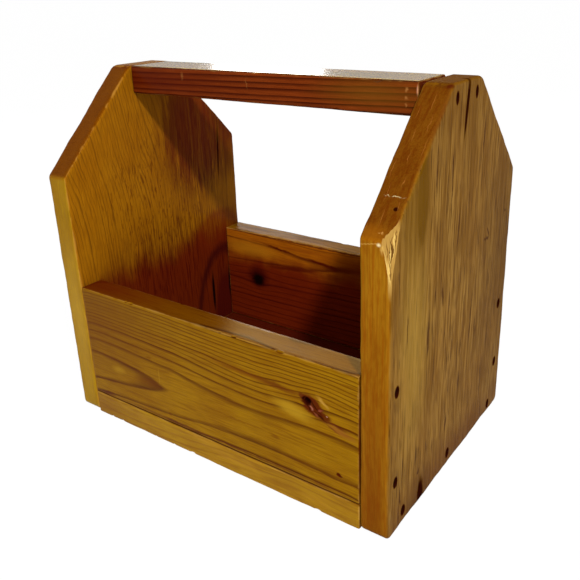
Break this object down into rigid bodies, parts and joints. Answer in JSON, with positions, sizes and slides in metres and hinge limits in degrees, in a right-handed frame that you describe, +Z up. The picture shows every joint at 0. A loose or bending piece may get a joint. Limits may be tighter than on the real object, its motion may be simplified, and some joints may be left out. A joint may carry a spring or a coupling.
{
  "type": "wooden tool caddy",
  "caption": "Open nailed wooden tool caddy: a shallow tray between tall corner-cut end boards, with a flat bar handle across their tops.",
  "frame": {"origin": "middle of the footprint, on the surface that the caddy stands on", "axes": "+X along the caddy towards its right end, +Y from the front board to the back board, +Z up"},
  "size_m": [0.28, 0.184, 0.2635],
  "materials": {
    "left_end": "worn amber varnish",
    "right_end": "worn amber varnish",
    "front_board": "amber varnish",
    "back_board": "amber varnish",
    "base_board": "amber varnish",
    "handle": "dark glossy varnish",
    "nail_steel": "rusted steel"
  },
  "bodies": {
    "root": {"left_end": "left_end", "right_end": "right_end", "front_board": "front_board", "back_board": "back_board", "base_board": "base_board", "handle": "handle", "nail_left_front_low": "nail_steel", "nail_left_front_high": "nail_steel", "nail_left_back_low": "nail_steel", "nail_left_back_high": "nail_steel", "nail_left_base_front": "nail_steel", "nail_left_base_mid": "nail_steel", "nail_left_base_back": "nail_steel", "nail_left_handle_front": "nail_steel", "nail_left_handle_back": "nail_steel", "nail_right_front_low": "nail_steel", "nail_right_front_high": "nail_steel", "nail_right_back_low": "nail_steel", "nail_right_back_high": "nail_steel", "nail_right_base_front": "nail_steel", "nail_right_base_mid": "nail_steel", "nail_right_base_back": "nail_steel", "nail_right_handle_front": "nail_steel", "nail_right_handle_back": "nail_steel"}
  },
  "joints": []
}
